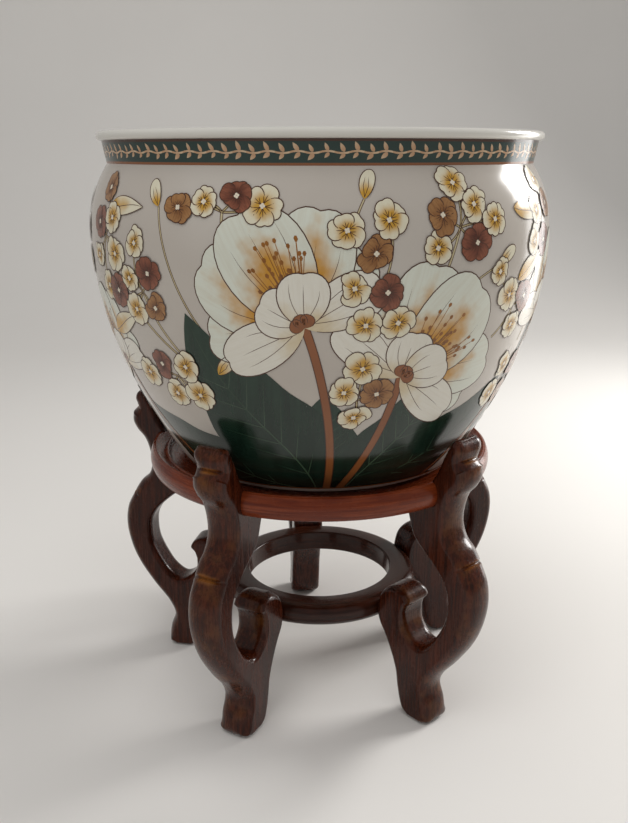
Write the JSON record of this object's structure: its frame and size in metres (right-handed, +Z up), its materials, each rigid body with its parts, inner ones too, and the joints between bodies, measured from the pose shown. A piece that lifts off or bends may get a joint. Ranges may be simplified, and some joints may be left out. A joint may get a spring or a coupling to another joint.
{
  "type": "jardiniere on stand",
  "caption": "Round-bellied glazed porcelain fish-bowl jardiniere resting on a low hardwood stand with scrolled cabriole legs and two rings; the bowl lifts off.",
  "frame": {"origin": "on the common axis of bowl and stand, at floor level under the feet", "axes": "+Z up; -Y is the front, between leg_5 (left) and leg_1 (right); leg_3 points to +Y"},
  "size_m": [0.356, 0.356, 0.456],
  "materials": {
    "porcelain": "glossy clear glaze over painted flowers on a warm light grey ground",
    "ring_wood": "satin red-brown lacquer",
    "lower_ring_wood": "satin dark brown lacquer",
    "leg_wood": "satin dark red-brown lacquer, worn golden at the grooves",
    "dowel_wood": "bare turned wood"
  },
  "bodies": {
    "stand": {"top_ring": "ring_wood", "lower_ring": "lower_ring_wood", "leg_1": "leg_wood", "leg_2": "leg_wood", "leg_3": "leg_wood", "leg_4": "leg_wood", "leg_5": "leg_wood", "top_dowel_1": "dowel_wood", "top_dowel_2": "dowel_wood", "top_dowel_3": "dowel_wood", "top_dowel_4": "dowel_wood", "top_dowel_5": "dowel_wood", "lower_dowel_1": "dowel_wood", "lower_dowel_2": "dowel_wood", "lower_dowel_3": "dowel_wood", "lower_dowel_4": "dowel_wood", "lower_dowel_5": "dowel_wood"},
    "bowl": {"bowl": "porcelain"}
  },
  "joints": [
    {"name": "bowl_lift", "type": "slide", "parent": "stand", "child": "bowl", "axis": [0, 0, 1], "range_m": [0, 0.06]}
  ]
}
